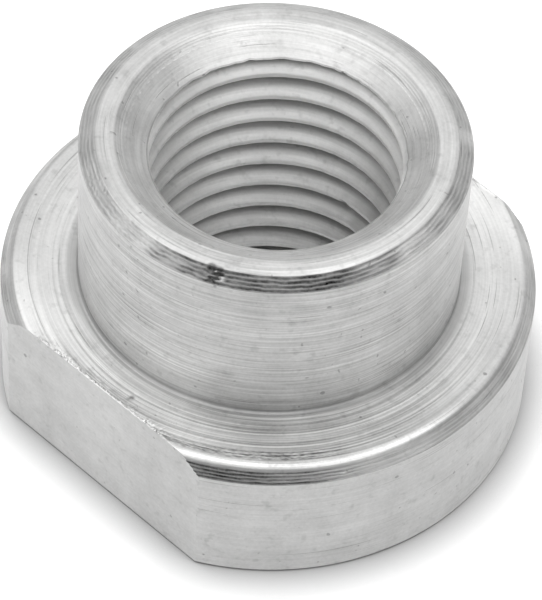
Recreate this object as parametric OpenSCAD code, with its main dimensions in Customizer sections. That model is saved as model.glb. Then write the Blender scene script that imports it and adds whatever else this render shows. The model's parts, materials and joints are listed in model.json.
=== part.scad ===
// Flanged shaft nut turned from one bar: a round flange with two flats for a
// spanner, a plain barrel above it, and a fine left-hand thread right through.
// The underside is at z = 0, the axis is Z, and the flats face -Y and +Y.

/* [Thread] */
// Major diameter of the tapped thread
thread_major_d = 9.525; // [8.8:0.005:10.2]
// Pitch of the tapped thread, 24 turns to the inch
thread_pitch = 1.058; // [0.8:0.001:1.4]
// Angle from +X at which the groove passes the height that follows
thread_start = 131.5; // [0:0.5:359.5]
// Height of the groove's middle at that angle
thread_start_z = 9.34; // [0:0.01:11]
// Straight steps that one turn of the groove is made of
thread_steps = 24; // [16:4:36]

/* [Barrel] */
// Outer diameter of the barrel
barrel_d = 12.7; // [12.3:0.1:14.2]
// Height of the barrel above the flange
barrel_h = 6.2; // [3:0.1:25]
// Width of the chamfer round the barrel's free end, on the end face
barrel_chamfer_w = 0.58; // [0.45:0.01:0.7]
// Height of that chamfer, down the barrel's side
barrel_chamfer_h = 0.34; // [0.25:0.01:0.6]
// Radius that rolls the end face over into that chamfer
barrel_edge_r = 0.4; // [0.1:0.05:0.6]
// Radius of the fillet at the barrel's foot
root_r = 0.12; // [0.05:0.01:0.6]

/* [Flange] */
// Outer diameter of the flange
flange_d = 17.85; // [16.9:0.05:22]
// Thickness of the flange
flange_h = 5.1; // [2:0.1:15]
// Distance across the two flats
across_flats = 15.5; // [14.8:0.1:16.6]
// Width of the chamfer round the flange's upper edge, on its top face
flange_chamfer_w = 0.37; // [0.2:0.01:0.7]
// Height of that chamfer, down the flange's side
flange_chamfer_h = 0.5; // [0.25:0.01:0.9]
// Radius that rolls the top face over into that chamfer
flange_edge_r = 0.35; // [0.1:0.05:0.5]
// Edge broken round the underside
base_break = 0.1; // [0.05:0.01:0.4]

/* [Countersinks] */
// Diameter of the upper countersink at the barrel's end face
mouth_d = 10.5; // [10.3:0.05:10.9]
// Depth of the upper countersink
mouth_depth = 0.78; // [0.3:0.01:2]
// Diameter of the lower countersink at the underside
base_mouth_d = 9.9; // [9.5:0.05:12]
// Depth of the lower countersink
base_mouth_depth = 0.7; // [0.3:0.05:1.5]

/* [Hidden] */
$fn = 96;

// The hole drilled before tapping leaves the crests of the thread standing. Its
// share of the pitch is the one that inch and metric threads have in common.
drilled_d = thread_major_d - 1.0825 * thread_pitch;
groove_over = 0.15;
overall_h = flange_h + barrel_h;
cut_over = 1;

// Half section of a solid disc of radius r between two heights. Its upper edge
// has a chamfer of width w and height h, rolled over from the end face with
// the radius edge_r, so the arc touches both the face and the chamfer.
module turned_section(r, z_low, z_high, w, h, edge_r, low_break) {
    slope = atan2(h, w);
    reach = edge_r * tan(slope / 2);
    arc_x = r - w - reach;
    arc_z = z_high - edge_r;
    polygon([
        [0, z_low],
        [r - low_break, z_low],
        [r, z_low + low_break],
        [r, z_high - h],
        [arc_x + edge_r * sin(slope), arc_z + edge_r * cos(slope)],
        [arc_x, z_high],
        [0, z_high]
    ]);
    translate([arc_x, arc_z]) circle(r = edge_r);
}

// Half section of the fillet that fills the corner at the barrel's foot.
module root_section() {
    translate([barrel_d / 2, flange_h])
        difference() {
            translate([-root_r, -root_r]) square(2 * root_r);
            translate([root_r, root_r]) circle(r = root_r);
        }
}

module turned_blank() {
    rotate_extrude() {
        turned_section(flange_d / 2, 0, flange_h, flange_chamfer_w, flange_chamfer_h,
                       flange_edge_r, base_break);
        turned_section(barrel_d / 2, flange_h / 2, overall_h, barrel_chamfer_w,
                       barrel_chamfer_h, barrel_edge_r, 0);
        root_section();
    }
}

// Everything past one spanner flat, as a block as wide as the flange.
module beyond_flat() {
    translate([-flange_d / 2 - cut_over, across_flats / 2, -cut_over])
        cube([flange_d + 2 * cut_over, flange_d / 2, flange_h + 2 * cut_over]);
}

// Countersink below z = 0: a cone from its mouth down to the drilled hole. It
// is carried on past the mouth, so that it cuts clear of the face.
module countersink(mouth, depth) {
    widen = (mouth - drilled_d) / 2 / depth * cut_over;
    rotate_extrude()
        polygon([
            [0, -depth],
            [drilled_d / 2, -depth],
            [mouth / 2 + widen, cut_over],
            [0, cut_over]
        ]);
}

// Groove of the left-hand thread: a triangle with sides at 60 degrees, swept
// down a helix in straight steps. Its base lies inside the drilled hole, and it
// starts and ends beyond the two faces.
module thread_groove() {
    crest_r = drilled_d / 2 - groove_over;
    half_base = (thread_major_d / 2 - crest_r) * tan(30);
    section = [[crest_r, -half_base], [thread_major_d / 2, 0], [crest_r, half_base]];
    first = floor(-thread_start_z / thread_pitch * thread_steps) - thread_steps;
    last = ceil((overall_h - thread_start_z) / thread_pitch * thread_steps) + thread_steps;
    points = [
        for (i = [first : last])
            let (turn = thread_start - 360 * i / thread_steps)
                for (p = section)
                    [p[0] * cos(turn), p[0] * sin(turn),
                     p[1] + thread_start_z + thread_pitch * i / thread_steps]
    ];
    sides = [
        for (i = [0 : last - first - 1], k = [0 : 2])
            let (a = 3 * i + k, b = 3 * i + (k + 1) % 3)
                each [[a, a + 3, b], [b, a + 3, b + 3]]
    ];
    end = 3 * (last - first);
    polyhedron(points, concat([[0, 1, 2]], sides, [[end + 2, end + 1, end]]), convexity = 20);
}

module shaft_nut() {
    color("silver")
        difference() {
            turned_blank();
            for (turn = [0, 180]) rotate([0, 0, turn]) beyond_flat();
            translate([0, 0, -cut_over])
                cylinder(h = overall_h + 2 * cut_over, d = drilled_d);
            translate([0, 0, overall_h]) countersink(mouth_d, mouth_depth);
            mirror([0, 0, 1]) countersink(base_mouth_d, base_mouth_depth);
            thread_groove();
        }
}

shaft_nut();
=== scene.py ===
import json
import math

import bpy
import numpy as np
from mathutils import Matrix, Vector


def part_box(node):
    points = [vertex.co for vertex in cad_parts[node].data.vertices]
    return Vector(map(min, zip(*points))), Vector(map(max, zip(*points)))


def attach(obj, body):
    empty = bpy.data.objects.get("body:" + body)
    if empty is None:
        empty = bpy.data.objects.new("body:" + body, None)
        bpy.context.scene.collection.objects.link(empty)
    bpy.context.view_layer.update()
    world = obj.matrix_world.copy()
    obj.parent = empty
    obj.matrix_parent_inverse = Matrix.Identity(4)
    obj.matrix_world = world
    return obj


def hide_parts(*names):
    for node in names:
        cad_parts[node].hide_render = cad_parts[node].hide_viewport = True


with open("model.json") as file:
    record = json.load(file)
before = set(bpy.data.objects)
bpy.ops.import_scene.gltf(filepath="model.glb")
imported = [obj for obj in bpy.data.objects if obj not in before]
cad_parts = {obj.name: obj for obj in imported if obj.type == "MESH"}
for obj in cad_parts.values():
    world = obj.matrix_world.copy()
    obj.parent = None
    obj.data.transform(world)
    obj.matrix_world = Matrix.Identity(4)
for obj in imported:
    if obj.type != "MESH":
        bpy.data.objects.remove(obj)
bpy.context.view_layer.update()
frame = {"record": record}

# Shaft nut: one piece of free-cutting steel, turned from the bar, tapped with a
# fine left-hand thread and given a thin bright zinc plating. The two spanner
# flats are shaved last, which leaves a ragged burr along their upper edges.

# Sizes are in millimetres, and MM brings them to the frame's metres.
MM = 0.001
mounts = {m["name"]: m for m in frame["record"]["mounts"]}
far_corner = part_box("shaft_nut")[1]
flange_r = far_corner.x / MM
flat_y = far_corner.y / MM
overall_h = far_corner.z / MM
flange_h = mounts["shoulder"]["pos_m"][2] / MM
barrel_r = mounts["barrel"]["dims"]["r_mm"]
tapping_r = mounts["thread"]["dims"]["r_mm"]

# The nut's own columns: the near flat, the arc toward +X, the far flat and the arc
# toward -X. Corners have a close pair of columns.
corner_angle = math.acos(flat_y / flange_r)
flat_length = 2 * flange_r * math.sin(corner_angle)
arc_length = flange_r * (math.pi - 2 * corner_angle)
pair_gap = 0.03
crowd_steps = 6001


def crowded(start, stop, count, spots):
    """Places from start to stop. They stand closer round each spot: equal steps of the
    integral of 1 plus, for each spot, its times x a bell curve of its width."""
    fine = np.linspace(start, stop, crowd_steps)
    bells = [times * np.exp(-(((fine - spot) / width) ** 2)) for spot, width, times in spots]
    density = np.ones(len(fine)) + sum(bells)
    total = np.concatenate([[0], np.cumsum((density[1:] + density[:-1]) / 2)])
    return np.interp(np.linspace(0, total[-1], count), total, fine)


def side_shares(count, length, spots=()):
    """Shares of the way along one side, from its corner up to the next: a close pair of
    columns keeps each corner crisp, and the rest are spread by crowded()."""
    close = pair_gap / length
    rest = crowded(2.5 * close, 1 - 2.5 * close, count, spots)
    return np.concatenate([[0, close], rest, [1 - close]])


# They crowd at the knocks on the rim, on the flange's edge and in the thread.
shares = [
    side_shares(149, flat_length, [(0.86, 0.05, 1.2)]),
    side_shares(91, arc_length, [(0.248, 0.008, 9)]),
    side_shares(67, flat_length, [(0.61, 0.08, 3)]),
    side_shares(75, arc_length),
]
side = np.repeat(np.arange(4), [len(s) for s in shares])
share = np.concatenate(shares)
first_column = np.searchsorted(side, np.arange(4))
on_flat = side % 2 == 0
columns = len(side)


def cut_rows(radius, height, inset=0.0):
    """Rows round the flange, one for each row of the arrays radius and height: a circle
    cut by the two flats. On an arc a column stands at its share of the angle between the
    row's own corners, and on a flat at its share of the straight line between them."""
    away = flat_y - np.broadcast_to(inset, radius.shape[:1])[:, None]
    at_corner = radius[:, first_column]
    turn = np.arccos(away / at_corner)
    corner = math.pi / 2 * np.array([-1, -1, 1, 1]) + turn * np.array([-1, 1, -1, 1])
    corner = np.hstack([corner, corner[:, :1] + 2 * math.pi])
    corner_r = np.hstack([at_corner, at_corner[:, :1]])
    corner_z = height[:, first_column]
    corner_z = np.hstack([corner_z, corner_z[:, :1]])

    def between(ends):
        """Each column's value between the two ends of its side, at its share."""
        return ends[:, side] * (1 - share) + ends[:, side + 1] * share

    angle = between(corner)
    return np.stack([
        np.where(on_flat, between(corner_r * np.cos(corner)), radius * np.cos(angle)),
        np.where(on_flat, between(corner_r * np.sin(corner)), radius * np.sin(angle)),
        np.where(on_flat, between(corner_z), height),
    ], -1)


wall_row = cut_rows(np.full((1, columns), flange_r), np.zeros((1, columns)))[0]
around = np.unwrap(np.arctan2(wall_row[:, 1], wall_row[:, 0]))


def round_rows(radius, height, angle=around):
    """Full circles: x = radius x cosine, y = radius x sine of each column's angle."""
    radius, height, angle = np.broadcast_arrays(radius, height, angle)
    return np.stack([radius * np.cos(angle), radius * np.sin(angle), height], -1)


def face_rows(start, stop, steps):
    """Rows of a level face between two closed rows: in each column the radius and the
    angle go evenly from the first row's to the other's."""
    r0, r1 = (np.hypot(row[:, 0], row[:, 1]) for row in (start, stop))
    a0, a1 = (np.arctan2(row[:, 1], row[:, 0]) for row in (start, stop))
    swing = (a1 - a0 + math.pi) % (2 * math.pi) - math.pi
    step = np.asarray(steps)[:, None]
    return round_rows(r0 + (r1 - r0) * step, start[:, 2], a0 + swing * step)


def grain(angle, along, waves, steps, seed, count=40):
    """A random roughness that closes on itself round the axis: the sum of cosines with
    whole numbers of waves round it and some steps along the profile, over the root of
    half their number, so it runs from about -2 to 2."""
    draw = np.random.default_rng(seed)
    number = draw.integers(waves[0], waves[1] + 1, count)
    step = draw.uniform(-steps, steps, count)
    phase = draw.uniform(0, 2 * math.pi, count)
    angle, along = np.broadcast_arrays(angle, along)
    waves_sum = sum(np.cos(n * angle + m * along + p) for n, m, p in zip(number, step, phase))
    return waves_sum / math.sqrt(count / 2)


def wear_and_shade_part(middle, half, seed):
    """How deep a chamfer's tears go, and how much painted shade it takes, column by column:
    1 round the angle in the middle, a half at the angle half to either side of it and 0.1
    beyond, with a slight grain. The angles are in degrees."""
    middle, half = math.radians(middle), math.radians(half)
    fall = (np.cos(around - middle) - math.cos(half)) / math.sin(half)
    return np.clip(0.5 + 2.5 * fall, 0.1, 1) + 0.05 * grain(around, 0, (8, 40), 0, seed)


def torn_chamfer(start, stop, ridges, depth, wear_and_shade, tail, seed):
    """A chamfer cut by a form tool blunted by wear, from start to stop, each a radius and a
    height: the straight line between them, pushed in along its normal by a row of sharp valleys
    whose depth and place wander round the nut, and by a fine roughness. Gives the radii,
    the heights and how dark each point is, from 0 to about 1: half of the wear and painted
    shade given, and half of the valley's depth times that to the power of tail, which darkens
    the valleys with dirt and painted shade."""
    start, stop = np.array(start), np.array(stop)
    along = np.linspace(0, 1, 7 * ridges + 1)[:, None]
    length = np.hypot(*(stop - start))
    normal = np.array([start[1] - stop[1], stop[0] - start[0]]) / length
    place = ridges * along + 0.09 * grain(around, 0, (2, 24), 0, seed)
    place = place + 0.06 * grain(around, along, (20, 90), 9, seed + 1)
    valley = (0.5 - 0.5 * np.cos(2 * math.pi * place)) ** 0.8
    strength = 0.7 + 0.14 * grain(around, 9 * along, (3, 40), 1.2, seed + 2)
    strength = strength + 0.09 * grain(around, along, (60, 170), 20, seed + 3)
    fade = np.clip(np.minimum(along, 1 - along) * 12, 0, 1)
    deep = valley * np.clip(strength, 0.1, 1.3) * fade
    rough = 0.0022 * fade * grain(around, along, (90, 240), 40, seed + 4)
    push = depth * deep * (0.15 + 0.85 * wear_and_shade) + rough
    radius = start[0] + (stop[0] - start[0]) * along - normal[0] * push
    height = start[1] + (stop[1] - start[1]) * along - normal[1] * push
    return radius, height, 0.52 * wear_and_shade + 0.48 * deep * np.clip(wear_and_shade, 0, 1) ** tail


def rolled_edge(r, top, chamfer, edge_r, steps):
    """The rounding that rolls a face over into its chamfer: radius = its centre's plus
    edge_r x sine, height = its centre's plus edge_r x cosine, as the angle goes from 0 to
    the chamfer's slope."""
    width, height = chamfer
    slope = math.atan2(height, width)
    centre_r = r - width - edge_r * math.tan(slope / 2)
    angle = np.linspace(0, slope, steps)[:, None]
    return centre_r + edge_r * np.sin(angle), top - edge_r + edge_r * np.cos(angle)


def burr(seed, height):
    """How far the shaved flats' upper edges stand up, column by column: height x teeth,
    a half plus a fine grain and a coarse one and never below nought, that die away
    towards the corners."""
    fine = grain(around, 0, (150, 420), 0, seed)
    coarse = grain(around, 0, (30, 120), 0, seed + 1)
    teeth = np.clip(0.5 + 0.35 * fine + 0.25 * coarse, 0, 1.6)
    return height * on_flat * teeth * np.clip(9 * share * (1 - share), 0, 1)


def wide(rows):
    """One value for each row, spread over all columns."""
    return np.repeat(np.asarray(rows, float).reshape(-1, 1), columns, axis=1)


# The thread. The tap pushes the crests up a little past the hole drilled for it.
thread_major_r = 9.525 / 2
thread_pitch = 1.058
crest_rise = 0.07
crest_r = tapping_r - crest_rise
# A place on the thread that the photograph shows: the lower edge of a crest.
crest_edge_angle = math.radians(131.5)
crest_edge_z = 9.645
# One pitch, from a crest's lower edge up: shares of the pitch, and how deep the
# groove is there, from 0 at the crest to 1 at the root.
profile_at = [0, 0.04, 0.09, 0.14, 0.2, 0.27, 0.3, 0.33, 0.63, 0.67, 0.9, 0.96, 1]
profile_cut = [0.115, 0.07, 0.033, 0.01, 0, 0, 0.02, 0.09, 1, 1, 0.33, 0.185, 0.115]


def thread_radius(angle, height):
    """Radius of the tapped thread. It goes through the profile once in each pitch up the
    hole, sinks by one pitch in a turn to the left, and is slightly ragged near its crests."""
    turns = (angle - crest_edge_angle) / (2 * math.pi)
    rise = (height - crest_edge_z) / thread_pitch + turns
    cut = np.interp(rise % 1, profile_at, profile_cut)
    rough = 0.004 * grain(angle, height, (5, 60), 6, 31)
    return crest_r + (thread_major_r - crest_r) * cut + rough * (cut < 0.5)


# The countersinks, above and below.
mouth_r = 5.25
mouth_depth = 0.78
base_mouth_r = 4.95
base_mouth_depth = 0.7
lip_reach = 0.11


def cone_radius(height):
    """Radius of the upper countersink, on the straight line from its mouth inward."""
    return mouth_r - (mouth_r - tapping_r) * (overall_h - height) / mouth_depth


def base_cone_radius(height):
    """Radius of the lower countersink, likewise."""
    return base_mouth_r - (base_mouth_r - tapping_r) * height / base_mouth_depth


def lip_radius(angle, height, seed):
    """Radius at which a countersink ends. It was cut after the thread, so where it
    crosses the groove it leaves a thin ragged lip that reaches in over it."""
    groove = (thread_radius(angle, height) - crest_r) / (thread_major_r - crest_r)
    ragged = 0.012 * grain(angle, 0, (20, 90), 0, seed) * (groove > 0.1)
    return crest_r + lip_reach * np.clip(1.6 * groove - 0.2, 0, 1) + ragged


# The hole has every second column, up to where its countersinks widen to all of them.
coarse = around[::2]
upper_lip = lip_radius(coarse, overall_h - mouth_depth, 41)
upper_end = overall_h - mouth_depth * (mouth_r - upper_lip) / (mouth_r - tapping_r)
lower_lip = lip_radius(coarse, base_mouth_depth, 43)
lower_end = base_mouth_depth * (base_mouth_r - lower_lip) / (base_mouth_r - tapping_r)
cone_top_z = overall_h - 0.3
cone_base_z = 0.25

# The thread's rows run down the helix and end just inside the two lips. They are
# raised by 1.6 pitches, so they fall between the profile's corners and ease them.
flank_middle = 0.48
row_phases = np.sort([*profile_at[:-1], flank_middle])
pitches = 13
raised = 1.6
under_lip = 0.004
row_turns = (np.arange(-pitches + 1, 1)[:, None] + row_phases).ravel()[:, None]
sunk_turns = (coarse - crest_edge_angle) / (2 * math.pi)
helix = crest_edge_z + thread_pitch * (row_turns - sunk_turns) + thread_pitch * raised
helix = np.clip(helix, lower_end + under_lip, upper_end - under_lip)
thread_rows = round_rows(thread_radius(coarse, helix), helix, coarse)

cone_steps = np.array([0, 0.03, 0.09, 0.2, 0.35, 0.5, 0.67, 0.83, 1])[:, None]
upper_z = upper_end + (cone_top_z - upper_end) * cone_steps
upper_cone = round_rows(cone_radius(upper_z), upper_z, coarse)
lower_z = lower_end + (cone_base_z - lower_end) * cone_steps[::-1]
lower_cone = round_rows(base_cone_radius(lower_z), lower_z, coarse)

# The outside, row by row from the upper countersink round to the lower one. The
# countersink was turned in fine steps, and both mouths have a small broken edge.
mouth_break = 0.05
rim_inset, rim_drop = 0.01, 0.012
step_depth, step_waves = 0.006, 33
step_z = np.linspace(cone_top_z, overall_h - mouth_break, 15)[1:, None]
step_share = (step_z - cone_top_z) / (overall_h - cone_top_z)
step_phase = step_share * step_waves + 0.5 * grain(around, 0, (1, 6), 0, 5)
steps_cut = step_depth * np.sin(step_phase) * np.sin(step_share * math.pi)
cone_start = round_rows(cone_radius(cone_top_z), cone_top_z)[None]
cone_rows = round_rows(cone_radius(step_z) - steps_cut, step_z)

# The barrel's free end. A chamfer is its width on the face and its height down the
# side, and both chamfers have the same number of torn lines, of the same depth.
barrel_chamfer = (0.58, 0.34)
barrel_edge_r = 0.4
torn_lines = 4
torn_depth = 0.045
edge_r, edge_z = rolled_edge(barrel_r, overall_h, barrel_chamfer, barrel_edge_r, 7)
ring_r = edge_r[0, 0]
ring_middle = (mouth_r + ring_r) / 2
ring_rows = [mouth_r - rim_inset, mouth_r + 0.04, mouth_r + 0.1, ring_middle, ring_r - 0.06]
end_ring = round_rows(wide(ring_rows), wide([overall_h - rim_drop] + [overall_h] * 4))
barrel_edge = round_rows(edge_r, edge_z)
barrel_top = overall_h - barrel_chamfer[1]
# The barrel's chamfer is darker by its torn lines and by painted shade on its side toward the
# camera, round the middle angle.
torn_r, torn_z, barrel_torn_and_shade = torn_chamfer(
    (edge_r[-1, 0], edge_z[-1, 0]), (barrel_r, barrel_top), torn_lines, torn_depth,
    wear_and_shade_part(middle=314, half=33, seed=51), tail=0.25, seed=11,
)
barrel_chamfer_rows = round_rows(torn_r, torn_z)

# The barrel's side and the small fillet at its foot.
root_r = 0.12
barrel_foot = flange_h + root_r
barrel_z = np.concatenate([
    [barrel_top - 0.025, barrel_top - 0.07],
    np.linspace(barrel_top - 0.3, barrel_foot + 0.3, 11), [barrel_foot + 0.03],
])
barrel_wall = round_rows(barrel_r, wide(barrel_z))
fillet = np.linspace(0, math.pi / 2, 5)[:, None]
fillet_r = barrel_r + root_r * (1 - np.cos(fillet))
root_fillet = round_rows(fillet_r, barrel_foot - root_r * np.sin(fillet))

# The flange's top, with the tall burr on its last rows and a low one before it.
flange_chamfer = (0.37, 0.5)
flange_edge_r = 0.35
tall_burr, low_burr = 0.11, 0.035
edge_r, edge_z = rolled_edge(flange_r, flange_h, flange_chamfer, flange_edge_r, 8)
flange_edge = cut_rows(wide(edge_r), wide(edge_z))
face_steps = [0.02, 0.08, 0.16, 0.25, 0.35, 0.45, 0.55, 0.65, 0.74, 0.82]
burr_steps = [0.88, 0.915, 0.945, 0.97, 0.99]
shoulder = face_rows(root_fillet[-1], flange_edge[0], face_steps + burr_steps)
rolled_up = burr(61, tall_burr)
shoulder[-2:, :, 2] += rolled_up * np.array([[0.45], [1]])
shoulder[-5:-2, :, 2] += burr(71, low_burr) * np.array([[0.5], [1], [0.2]])
flange_edge[0, :, 2] += 0.5 * rolled_up

# Its side and the broken edge of its underside.
base_break = 0.1
wall_top = flange_h - flange_chamfer[1]
# The flange's chamfer likewise: torn lines and painted shade on its side toward the camera.
torn_r, torn_z, flange_torn_and_shade = torn_chamfer(
    (edge_r[-1, 0], edge_z[-1, 0]), (flange_r, wall_top), torn_lines, torn_depth,
    wear_and_shade_part(middle=306, half=23, seed=52), tail=0.6, seed=23,
)
flange_chamfer_rows = cut_rows(torn_r, torn_z)
upper_wall = [wall_top - 0.02, wall_top - 0.08]
wall_z = [*upper_wall, *np.linspace(wall_top - 0.4, 0.5, 9), base_break + 0.06, base_break]
flange_wall = cut_rows(wide([flange_r] * len(wall_z)), wide(wall_z))
base_edge = cut_rows(
    wide(flange_r - base_break * np.array([0.1, 0.4, 1])),
    wide(base_break * np.array([0.7, 0.3, 0])), inset=np.array([0.0, 0.01, 0.04]),
)
mouth_edge = round_rows(wide([base_mouth_r + 0.05, base_mouth_r - rim_inset]), wide([0, rim_drop]))
underside = face_rows(base_edge[-1], mouth_edge[0], [0.02, 0.15, 0.3, 0.5, 0.7, 0.85, 0.97])
base_z = np.linspace(0.05, cone_base_z, 4)[:, None]
base_cone = round_rows(base_cone_radius(base_z), base_z)

runs = {
    "cone start": cone_start, "cone": cone_rows, "ring": end_ring,
    "barrel edge": barrel_edge, "barrel chamfer": barrel_chamfer_rows[1:],
    "barrel wall": barrel_wall, "fillet": root_fillet, "shoulder": shoulder,
    "flange edge": flange_edge, "flange chamfer": flange_chamfer_rows[1:],
    "flange wall": flange_wall, "base edge": base_edge, "underside": underside,
    "base mouth": mouth_edge, "base cone": base_cone,
}
outside = np.concatenate(list(runs.values()))
run_ends = np.cumsum([len(run) for run in runs.values()])
rows_of = {name: slice(end - len(runs[name]), end) for name, end in zip(runs, run_ends)}


def grid_faces(first, rows, across, drop=0):
    """Four-sided faces of a grid that is closed round the axis. Its last column joins
    the first one, drop rows further down, which closes a helix, and top row to top row."""
    row, column = np.mgrid[: rows - 1, :across]

    def vertex(r, c):
        """The number of the vertex in that row and column, first + row x across + column."""
        joined = np.where((c == across) & (r < rows - 1), np.maximum(r - drop, 0), r)
        return first + joined * across + c % across

    corners = [(row, column), (row + 1, column), (row + 1, column + 1), (row, column + 1)]
    return np.stack([vertex(*corner) for corner in corners], -1).reshape(-1, 4)


def halving_faces(narrow, wide_first, across, outward):
    """Three triangles for each column of a row that meets a row with twice as many."""
    near = np.arange(across)
    p, q = narrow + near, narrow + (near + 1) % across
    a, b, c = (wide_first + (2 * near + k) % (2 * across) for k in range(3))
    fans = [(p, a, b), (p, b, q), (q, b, c)] if outward else [(a, p, b), (b, p, q), (b, q, c)]
    return np.concatenate([np.stack([*fan, fan[2]], -1) for fan in fans])


def dents(points, places):
    """Knocks the metal in: at each place, a bell curve of its width and depth moves the
    points against the place's own outward direction, and a grain roughens it. Gives the
    points and how far each is in a knock, from 0 to 1, or to -1 where the metal bulges."""
    moved, knocked = points.copy(), np.zeros(points.shape[:-1])
    for centre, outward, width, depth, seed in places:
        offset = np.clip((points - centre) / width, -5, 5)
        across, upward = offset[..., 0] - offset[..., 1], offset[..., 2]
        ragged = np.clip(1 + 0.35 * grain(across, upward, (1, 4), 3, seed, 9), 0.4, 2)
        bell = np.exp(-(offset**2).sum(-1) * ragged)
        moved -= depth * bell[..., None] * outward
        knocked = np.where(bell > np.abs(knocked), bell * np.sign(depth), knocked)
    return moved, knocked


def knock(angle, radius, height, lean, width, depth, seed):
    """One place for dents(). The angle is in degrees from +X, and lean is how far its
    outward direction goes out and up."""
    out = np.array([math.cos(math.radians(angle)), math.sin(math.radians(angle)), 0])
    up = np.array([0, 0, 1])
    outward = (out * lean[0] + up * lean[1]) / math.hypot(*lean)
    return out * radius + up * height, outward, width, depth, seed


# Knocks that the photograph shows: on the rim, on the flange's edge and in the thread.
outside, rim_knocked = dents(outside, [
    knock(294.2, 5.95, 11.22, (1, 1.2), 0.13, 0.17, 81),
    knock(296.6, 6.05, 11.14, (1, 1.2), 0.12, 0.16, 82),
    knock(294.9, 6.22, 11.02, (1, 0.8), 0.1, 0.1, 88),
    knock(295.6, 5.99, 11.2, (1, 1.2), 0.06, -0.04, 83),
    knock(297.6, 6.16, 11.08, (1, 1.2), 0.09, -0.05, 87),
    knock(330.1, 8.85, 4.82, (1, 0.5), 0.07, -0.05, 84),
    knock(277.0, 7.35, 5.1, (0, 1), 0.07, 0.05, 85),
])
thread_rows, thread_knocked = dents(thread_rows, [
    knock(95.6, 4.2, 4.45, (-1, 0), 0.13, 0.2, 86),
    knock(97.5, 4.2, 4.0, (-1, 0), 0.07, 0.08, 87),
])

hole = np.concatenate([lower_cone[-1:], thread_rows, upper_cone[:1]])
blocks = [hole, upper_cone, outside, lower_cone]
points = np.concatenate([block.reshape(-1, 3) for block in blocks])
starts = np.cumsum([0] + [block.shape[0] * block.shape[1] for block in blocks])
across = len(coarse)
faces = np.concatenate([
    grid_faces(starts[0], len(hole), across, len(row_phases)),
    grid_faces(starts[1], len(upper_cone), across),
    halving_faces(starts[2] - across, starts[2], across, True),
    grid_faces(starts[2], len(outside), columns),
    halving_faces(starts[3], starts[3] - columns, across, False),
    grid_faces(starts[3], len(lower_cone), across),
])


def merged(points, faces):
    """Points that coincide become one, and faces that this leaves with fewer than three
    corners go. Gives the points kept, then four-sided and three-sided faces."""
    kept, place = np.unique(np.round(points, 5), axis=0, return_index=True, return_inverse=True)[1:]
    faces = place.reshape(-1)[faces]
    double = faces == np.roll(faces, -1, axis=1)
    threes = double.sum(1) == 1
    return kept, faces[double.sum(1) == 0], faces[threes][~double[threes]].reshape(-1, 3)


kept, fours, threes = merged(points, faces)
nut_mesh = bpy.data.meshes.new("nut_turned")
nut_mesh.from_pydata((points[kept] * MM).tolist(), [], fours.tolist() + threes.tolist())
nut_mesh.polygons.foreach_set("use_smooth", np.ones(len(nut_mesh.polygons), bool))

# How dark the metal is, point by point: 1 in the deepest torn lines on the chamfers'
# side toward the camera, where painted shade darkens them. It also holds painted shade in
# the barrel's foot, along the underside's broken edge, under the burr and in the knocks,
# and a darker line along the countersinks' lips. Below 0 it is a painted highlight: on the
# burr, on the bulges and on the flange's rounding toward the camera.
corner_shade, fillet_shade, base_edge_shade, lip_darkening = 0.22, 0.3, 0.6, 0.4
chamfer_dirt_and_shade, knock_shading, thread_knock_shade, burr_shine = 1.1, 0.85, 0.75, 6
edge_row = np.arange(len(flange_edge))[:, None]
# Painted shadow in dots under the burr, along the flats' upper edges.
burr_grain = grain(around, edge_row, (60, 260), 0.3, 65)
burr_shadow = 0.5 * np.clip(burr_grain - 0.7, 0, 1) * (edge_row < 3)
# A painted highlight on the flange's rounding on the side toward the camera, and the chamfer's
# painted shade carried up into its lower rows.
painted_edge_highlight = -0.45 * np.clip(6 * np.cos(around - math.radians(322)) - 4.2, 0, 1)
edge_highlight_rows = np.array([0.5, 0.8, 0.8, 0.7, 0.3, 0, 0, 0])[:, None]
edge_shade_rows = np.array([0, 0, 0, 0, 0.1, 0.4, 0.8, 1])[:, None]
edge_highlight_and_shade = painted_edge_highlight * edge_highlight_rows + flange_torn_and_shade[0] * edge_shade_rows

outside_torn_and_shading = np.zeros(outside.shape[:2])
outside_torn_and_shading[rows_of["barrel chamfer"]] = barrel_torn_and_shade[1:]
# Painted shade in the fillet at the barrel's foot and on the flange's top beside it.
outside_torn_and_shading[rows_of["fillet"]] = fillet_shade
outside_torn_and_shading[rows_of["shoulder"]][:2] = corner_shade
outside_torn_and_shading[rows_of["flange edge"]] = np.where(on_flat, burr_shadow, edge_highlight_and_shade)
# A painted highlight on the burr, as strong as the burr is tall.
first_edge_row = rows_of["flange edge"].start
on_burr = slice(first_edge_row - 2, first_edge_row + 1)
outside_torn_and_shading[on_burr] = np.minimum(-burr_shine * rolled_up, outside_torn_and_shading[on_burr])
# On the flange's chamfer: its torn lines and the painted shade toward the camera, none on the
# flats.
outside_torn_and_shading[rows_of["flange chamfer"]] = chamfer_dirt_and_shade * flange_torn_and_shade[1:] * ~on_flat
# Painted shade along the underside's broken edge, next to the floor.
outside_torn_and_shading[rows_of["base edge"]] = base_edge_shade
# In the knocks on the rim and in the thread: painted shade in the dents and a faint painted
# highlight on the bulges.
outside_torn_and_shading = outside_torn_and_shading * (1 - np.abs(rim_knocked)) + knock_shading * np.maximum(rim_knocked, -0.12)
thread_knock_shading = np.pad(thread_knock_shade * thread_knocked, [(1, 1), (0, 0)])
# The countersink is darker along its lip, in its first two rows.
cone_lip_darkening = np.zeros(upper_cone.shape[:2])
cone_lip_darkening[:2] = lip_darkening
torn_and_shading_blocks = (thread_knock_shading, cone_lip_darkening, outside_torn_and_shading, np.zeros(lower_cone.shape[:2]))
kept_torn_and_shading = np.concatenate([block.ravel() for block in torn_and_shading_blocks])[kept].astype(np.float32)
nut_mesh.attributes.new("torn_and_shading", "FLOAT", "POINT").data.foreach_set("value", kept_torn_and_shading)

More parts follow.
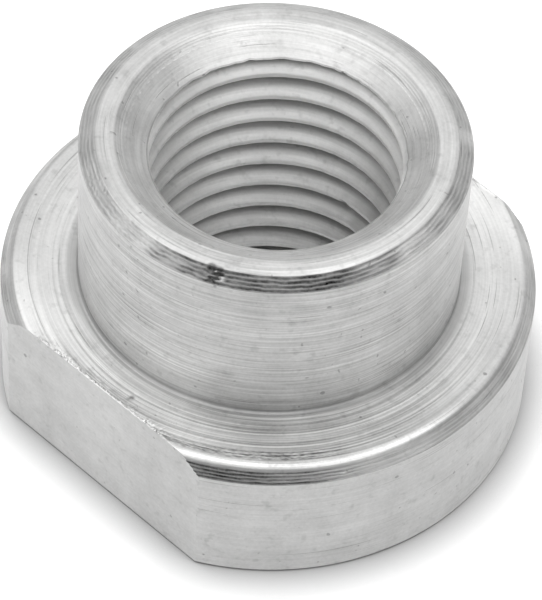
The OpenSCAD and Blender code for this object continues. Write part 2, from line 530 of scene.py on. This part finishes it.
# The two ragged lips are sharp edges: the faces on either side shade on their own.
lip_rows = [np.zeros(block.shape[:2], bool) for block in blocks]
lip_rows[0][[0, -1]] = lip_rows[1][0] = lip_rows[3][-1] = True
on_lip = np.concatenate([row.ravel() for row in lip_rows])[kept]
edge_ends = np.empty(2 * len(nut_mesh.edges), np.int32)
nut_mesh.edges.foreach_get("vertices", edge_ends)
sharp = on_lip[edge_ends.reshape(-1, 2)].all(1)
nut_mesh.attributes.new("sharp_edge", "BOOLEAN", "EDGE").data.foreach_set("value", sharp)
nut = bpy.data.objects.new("nut_turned", nut_mesh)
bpy.context.scene.collection.objects.link(nut)


class Wire:
    """An output of a material's node. Arithmetic on it adds Math nodes, and node() any
    other node."""

    def __init__(self, tree, socket):
        self.tree, self.socket = tree, socket

    def node(self, kind, settings, inputs, output=0):
        """Adds a node, its settings first and then its inputs, each a wire or a constant,
        and gives the named output."""
        made = self.tree.nodes.new(kind)
        for name, value in settings.items():
            setattr(made, name, value)
        for name, value in inputs.items():
            if isinstance(value, Wire):
                self.tree.links.new(value.socket, made.inputs[name])
            else:
                made.inputs[name].default_value = value
        return Wire(self.tree, made.outputs[output])

    def out(self, name):
        """Another output of the same node."""
        return Wire(self.tree, self.socket.node.outputs[name])

    def math(self, operation, *terms):
        """A Math node with that operation on those terms."""
        return self.node("ShaderNodeMath", {"operation": operation}, dict(enumerate(terms)))

    def __add__(self, other):
        return self.math("ADD", self, other)

    def __sub__(self, other):
        return self.math("SUBTRACT", self, other)

    def __mul__(self, other):
        return self.math("MULTIPLY", self, other)

    def __truediv__(self, other):
        return self.math("DIVIDE", self, other)

    def __pow__(self, other):
        return self.math("POWER", self, other)

    def __radd__(self, other):
        return self.math("ADD", other, self)

    def __rsub__(self, other):
        return self.math("SUBTRACT", other, self)

    def __rmul__(self, other):
        return self.math("MULTIPLY", other, self)

    def __rtruediv__(self, other):
        return self.math("DIVIDE", other, self)

    def __rpow__(self, other):
        return self.math("POWER", other, self)

    def step(self, low, high):
        """0 below low and 1 above high, with a smooth rise between them."""
        return self.node(
            "ShaderNodeMapRange", {"interpolation_type": "SMOOTHSTEP"},
            {"Value": self, "From Min": low, "From Max": high},
        )


zinc = bpy.data.materials.new("zinc_plated_steel")
zinc.use_nodes = True
shader = zinc.node_tree.nodes["Principled BSDF"]
start = Wire(zinc.node_tree, None)
place = start.node("ShaderNodeTexCoord", {}, {}, "Object")
metres = start.node("ShaderNodeSeparateXYZ", {}, {"Vector": place}, "X")
x, y, z = (metres.out(name) / MM for name in "XYZ")
r = (x * x + y * y) ** 0.5
cosine, sine = x / r, y / r
# The attribute holds torn lines and their dirt, painted shade and, below 0, painted highlights.
torn_and_shading = start.node("ShaderNodeAttribute", {"attribute_name": "torn_and_shading"}, {}, "Fac")
noise_roughness = 0.55


def turned_noise(turns, radial, upward, detail, shift):
    """Noise in four dimensions that closes on itself round the axis: the angle's cosine
    and sine times turns, the height times upward and the radius times radial."""
    vector = start.node(
        "ShaderNodeCombineXYZ", {},
        {"X": cosine * turns, "Y": sine * turns, "Z": z * upward + shift},
    )
    return start.node(
        "ShaderNodeTexNoise", {"noise_dimensions": "4D"},
        {"Vector": vector, "W": r * radial + shift, "Scale": 1, "Detail": detail,
         "Roughness": noise_roughness},
    ) - 0.5


def cloud(across, deep, upward, detail, shift):
    """Plain noise in three dimensions with its own number of lumps in a millimetre of
    X, Y and Z."""
    vector = start.node(
        "ShaderNodeCombineXYZ", {}, {"X": x * across + shift, "Y": y * deep, "Z": z * upward}
    )
    return start.node(
        "ShaderNodeTexNoise", {},
        {"Vector": vector, "Scale": 1, "Detail": detail, "Roughness": noise_roughness},
    ) - 0.5


def toward(angle):
    """The cosine of the angle between a place and the one given, in degrees from +X."""
    return cosine * math.cos(math.radians(angle)) + sine * math.sin(math.radians(angle))


# Where the surface is which: the two flats, the thread, and everything turned.
flat = y.math("ABSOLUTE", y).step(flat_y - 0.012, flat_y - 0.004)
lip_z = overall_h - mouth_depth * (mouth_r - crest_r) / (mouth_r - tapping_r)
above_lip = z.step(lip_z - 0.04, lip_z - 0.01)
in_thread = (1 - r.step(thread_major_r + 0.02, thread_major_r + 0.04)) * (1 - above_lip)
turned = (1 - flat) * (1 - in_thread)

# Tool marks: fine lines round the axis, and streaks along the flats.
feed_lines = turned_noise(turns=1.3, radial=10, upward=14, detail=1, shift=3.1)
fine_lines = turned_noise(turns=5, radial=30, upward=30, detail=1, shift=8.7)
streaks = cloud(across=0.5, deep=1, upward=13, detail=2, shift=4.4)
smudges = cloud(across=0.9, deep=0.9, upward=0.9, detail=3, shift=2.6)
grit = cloud(across=9, deep=9, upward=9, detail=2, shift=7.2)
specks = cloud(across=4.5, deep=4.5, upward=4.5, detail=0, shift=31.7).step(0.3, 0.36)
dashes = turned_noise(turns=2.6, radial=24, upward=24, detail=0, shift=5.9)
dashes = dashes.step(0.22, 0.29) * turned
# Painted shade: the thread is darker deep in its grooves.
deep = in_thread * r.step(crest_r - 0.02, crest_r + 0.4)

# The flange's top has clear rings, and a band of speckles near its edge at the front.
# The lines, in colour and in bump, are strongest toward the front, the side toward the
# camera, and weak on the flange's side; in the colour that is a painted sheen.
rings_end = (8.1, 8.3)
band_start, band_end = (7.85, 8.15), (8.25, 8.35)
on_top = 1 - (z - flange_h).math("ABSOLUTE", z - flange_h).step(0.015, 0.03)
on_wall = r.step(flange_r - 0.04, flange_r - 0.01) * (1 - flat)
rings = turned_noise(turns=0.7, radial=14, upward=0, detail=1, shift=12.3)
speckle = turned_noise(turns=40, radial=20, upward=20, detail=1, shift=9.4)
toward_front = toward(308)
away_from_front = 1 - toward_front.step(0.1, 0.9)
lined = (1 - 0.75 * on_wall) * (1 - (0.45 + 0.3 * on_top) * away_from_front)
speckled = on_top * (1 - r.step(*band_end)) * r.step(*band_start) * toward_front.step(0.9, 0.98)
# The flange's top is lighter near the flats.
near_flats = y.math("ABSOLUTE", y).step(5.4, 7.2)
# Painted light: the barrel's lower wall and the flange's top beside it are lighter,
# except on the side toward the camera.
camera_side = toward(316).step(0.87, 0.99)
painted_foot_light = (
    (1 - z.step(5.4, 8.2)) * r.step(barrel_r - 0.1, barrel_r - 0.05)
    * (1 - r.step(7.2, 8.2)) * (1 - camera_side)
)
in_cone = (1 - r.step(mouth_r - 0.05, mouth_r)) * above_lip
scuffs = cloud(across=2.6, deep=2.6, upward=2.6, detail=2, shift=9.1).step(0.07, 0.25)

# How light the metal is: its plain tone, what each place adds, and what each mark
# adds. The thread is lighter, and lighter toward its mouth, and the barrel's foot is
# lighter: painted light. Specks, dashes and scuffs then darken it, the depth of the thread
# darkens it as painted shade in the grooves, and so does what is torn or shaded, which
# lightens it as a painted highlight where it is below 0.
plain_tone = 0.522
tone = (
    plain_tone + in_thread * (0.4 + 0.35 * (z / overall_h - 0.6))
    + 0.06 * in_cone + on_top * (0.02 + 0.15 * near_flats) + 0.1 * painted_foot_light * (1 - 0.7 * on_top)
    + turned * lined * (0.5 * feed_lines + 0.18 * fine_lines)
    + on_top * lined * (1 - r.step(*rings_end)) * 0.9 * rings
    + speckled * (1.3 * speckle - 0.12)
    + in_thread * 0.3 * feed_lines
    + flat * 0.08 * streaks
    + 0.22 * smudges
    + 0.12 * grit
)
dark = (
    (1 - 0.3 * specks * (1 - in_thread)) * (1 - 0.32 * dashes)
    * (1 - 0.44 * deep) * (1 - 0.14 * scuffs)
)
level = tone * dark * (1 - torn_and_shading * (0.9 + 0.6 * grit))
black = (0, 0, 0, 1)
bright_zinc = (1, 1, 0.992, 1)
colour = start.node(
    "ShaderNodeMix", {"data_type": "RGBA"}, {"Factor": level, 6: black, 7: bright_zinc}, 2
)
roughness = 0.42 + 0.25 * torn_and_shading + 0.12 * smudges + 0.12 * in_thread + 0.1 * specks
height = (
    turned * lined * (0.006 * feed_lines + 0.0025 * fine_lines)
    + 0.012 * lined * on_top * rings
    + flat * 0.0015 * streaks + 0.0015 * grit - 0.006 * specks - 0.003 * dashes
)
bump = start.node("ShaderNodeBump", {}, {"Strength": 1, "Distance": MM, "Height": height})
shader.inputs["Metallic"].default_value = 1
shader.inputs["Anisotropic"].default_value = 0.7
shader.inputs["Anisotropic Rotation"].default_value = 0.25
zinc.node_tree.links.new(colour.socket, shader.inputs["Base Color"])
zinc.node_tree.links.new(roughness.socket, shader.inputs["Roughness"])
zinc.node_tree.links.new(bump.socket, shader.inputs["Normal"])
nut_mesh.materials.append(zinc)

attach(nut, "root")
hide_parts("shaft_nut")

# Camera: above the nut and to the right of its near flat, at a long lens. Its azimuth
# is from the near flat's own direction, and its aim and distance are in millimetres.
camera_azimuth = math.radians(41.5)
camera_elevation = math.radians(49.478)
camera_roll = math.radians(3.523)
lens = 221.5
aim_right, aim_up, distance = 0.263, 2.087, 126.6


def direction(azimuth, elevation):
    """The unit vector from the nut toward a place at that azimuth and elevation."""
    level_part = math.cos(elevation)
    return Vector((
        math.sin(azimuth) * level_part, -math.cos(azimuth) * level_part, math.sin(elevation)
    ))


right = Vector((math.cos(camera_azimuth), math.sin(camera_azimuth), 0))
back = direction(camera_azimuth, camera_elevation)
up = back.cross(right)
picture_right = right * math.cos(camera_roll) + up * math.sin(camera_roll)
picture_up = up * math.cos(camera_roll) - right * math.sin(camera_roll)
camera_data = bpy.data.cameras.new("camera")
camera_data.lens = lens
camera_data.clip_start = 0.01
camera = bpy.data.objects.new("camera", camera_data)
camera.matrix_world = Matrix((picture_right, picture_up, back)).transposed().to_4x4()
camera.location = (picture_right * aim_right + picture_up * aim_up + back * distance) * MM
bpy.context.scene.collection.objects.link(camera)
bpy.context.scene.camera = camera

# Floor: a plain white sheet just under the nut. Close to the nut it is darker, a
# contact shadow about a millimetre wide, and a little of its white is its own light.
floor_half = 1.5
floor_z = -0.00002
sheet_white = (0.9, 0.9, 0.9, 1)
shadow_reach = 1.35 * MM
own_light = 0.16
floor_mesh = bpy.data.meshes.new("floor")
floor_corners = [(-1, -1), (1, -1), (1, 1), (-1, 1)]
floor_mesh.from_pydata(
    [(floor_half * i, floor_half * j, floor_z) for i, j in floor_corners], [], [(0, 1, 2, 3)]
)
floor = bpy.data.objects.new("floor", floor_mesh)
bpy.context.scene.collection.objects.link(floor)
white = bpy.data.materials.new("white_sheet")
white.use_nodes = True
sheet_shader = white.node_tree.nodes["Principled BSDF"]
start = Wire(white.node_tree, None)
path = start.node("ShaderNodeLightPath", {}, {}, "Is Camera Ray")
occluded = 1 - start.node(
    "ShaderNodeAmbientOcclusion", {"samples": 12}, {"Distance": shadow_reach}, "AO"
)
contact = 1 - path * occluded
sheet = start.node(
    "ShaderNodeMix", {"data_type": "RGBA"}, {"Factor": contact, 6: black, 7: sheet_white}, 2
)
white.node_tree.links.new(sheet.socket, sheet_shader.inputs["Base Color"])
sheet_shader.inputs["Roughness"].default_value = 0.9
sheet_shader.inputs["Specular IOR Level"].default_value = 0
seen = path + path.out("Is Glossy Ray") + path.out("Is Transmission Ray")
lift = seen.step(0, 1) * contact * own_light
glow = start.node(
    "ShaderNodeMix", {"data_type": "RGBA"}, {"Factor": lift, 6: black, 7: (1, 1, 1, 1)}, 2
)
white.node_tree.links.new(glow.socket, sheet_shader.inputs["Emission Color"])
sheet_shader.inputs["Emission Strength"].default_value = 1
floor_mesh.materials.append(white)

# Studio light: a dim room, and soft boxes half a metre from the nut.
room = (0.25, 0.25, 0.25, 1)
world = bpy.data.worlds.new("room")
world.use_nodes = True
world.node_tree.nodes["Background"].inputs["Color"].default_value = room
bpy.context.scene.world = world


def soft_box(name, azimuth, elevation, width, height, radiance, away=0.5):
    """A rectangular lamp aimed at the nut. Its azimuth is from the camera's, to the right,
    and its power is its radiance x pi x its area."""
    toward_lamp = direction(camera_azimuth + math.radians(azimuth), math.radians(elevation))
    lamp = bpy.data.lights.new(name, "AREA")
    lamp.shape = "RECTANGLE"
    lamp.size, lamp.size_y = width, height
    lamp.energy = radiance * math.pi * width * height
    box = bpy.data.objects.new(name, lamp)
    box.rotation_mode = "QUATERNION"
    box.rotation_quaternion = toward_lamp.to_track_quat("Z", "Y")
    box.location = toward_lamp * away
    bpy.context.scene.collection.objects.link(box)


soft_box("overhead_box", azimuth=180, elevation=76, width=1.0, height=0.85, radiance=1.0)
soft_box("back_high_box", azimuth=180, elevation=62, width=0.5, height=0.25, radiance=0.5)
soft_box("front_box", azimuth=0, elevation=62, width=0.5, height=0.35, radiance=1.0)
soft_box("front_left_box", azimuth=-50, elevation=56, width=0.4, height=0.3, radiance=0.75)
soft_box("front_right_box", azimuth=50, elevation=58, width=0.4, height=0.3, radiance=0.9)
soft_box("left_box", azimuth=-95, elevation=35, width=0.5, height=0.5, radiance=0.5)
soft_box("right_box", azimuth=95, elevation=35, width=0.5, height=0.5, radiance=0.15)
soft_box("back_box", azimuth=180, elevation=18, width=1.0, height=0.35, radiance=0.5)

view_settings = bpy.context.scene.view_settings
view_settings.view_transform = "Standard"
